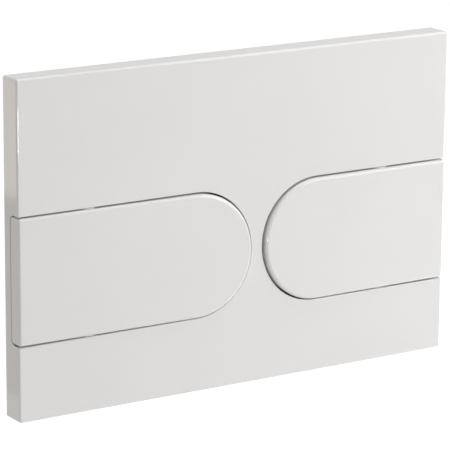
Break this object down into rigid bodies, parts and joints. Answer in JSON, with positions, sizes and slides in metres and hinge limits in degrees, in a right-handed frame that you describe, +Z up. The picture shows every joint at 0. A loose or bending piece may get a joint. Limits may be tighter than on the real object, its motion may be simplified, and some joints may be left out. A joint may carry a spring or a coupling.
{
  "type": "flush button plate",
  "caption": "Flat white wall plate for a concealed cistern, with long round-ended rocking buttons of unequal length that drive sprung push rods behind it.",
  "frame": {"origin": "middle of the plate's back on the wall plane, halfway between the two fixing studs", "axes": "+X to the right along the plate's width, +Z up the wall, +Y into the wall"},
  "size_m": [0.246, 0.0815, 0.165],
  "materials": {
    "white_gloss": "gloss",
    "frame_plastic": "matte",
    "grey_plastic": "matte",
    "rod_plastic": "satin",
    "spring_steel": "drawn",
    "black_rubber": "matte",
    "zinc_steel": "zinc plated"
  },
  "bodies": {
    "plate": {"cover_plate": "white_gloss", "mounting_frame": "frame_plastic", "left_guide_bush": "grey_plastic", "left_rod_spring": "spring_steel", "left_bumper": "black_rubber", "left_fixing_stud": "zinc_steel", "left_thumb_nut": "grey_plastic", "right_guide_bush": "grey_plastic", "right_rod_spring": "spring_steel", "right_bumper": "black_rubber", "right_fixing_stud": "zinc_steel", "right_thumb_nut": "grey_plastic"},
    "full_flush_button": {"full_flush_button": "white_gloss"},
    "half_flush_button": {"half_flush_button": "white_gloss"},
    "left_rod": {"left_push_rod": "rod_plastic", "left_rod_head": "grey_plastic", "left_rod_stop_nut": "grey_plastic"},
    "right_rod": {"right_push_rod": "rod_plastic", "right_rod_head": "grey_plastic", "right_rod_stop_nut": "grey_plastic"}
  },
  "joints": [
    {"name": "full_flush_press", "type": "hinge", "parent": "plate", "child": "full_flush_button", "pos_m": [-0.08425, -0.0075, -0.01412], "axis": [0, 0, 1], "range_deg": [0, 4.5], "stiffness_Nm_per_rad": 2.5, "springref_deg": -4.58},
    {"name": "left_rod_slide", "type": "slide", "parent": "plate", "child": "left_rod", "axis": [0, 1, 0], "range_m": [0, 0.0048], "deforming": ["left_rod_spring"]},
    {"name": "half_flush_press", "type": "hinge", "parent": "plate", "child": "half_flush_button", "pos_m": [0.08425, -0.0075, -0.01412], "axis": [0, 0, -1], "range_deg": [0, 4.5], "stiffness_Nm_per_rad": 2.5, "springref_deg": -4.58},
    {"name": "right_rod_slide", "type": "slide", "parent": "plate", "child": "right_rod", "axis": [0, 1, 0], "range_m": [0, 0.0048], "deforming": ["right_rod_spring"]}
  ],
  "couplings": [
    {"joint": "left_rod_slide", "follows": "full_flush_press", "m_per_rad": 0.06},
    {"joint": "right_rod_slide", "follows": "half_flush_press", "m_per_rad": 0.06}
  ]
}
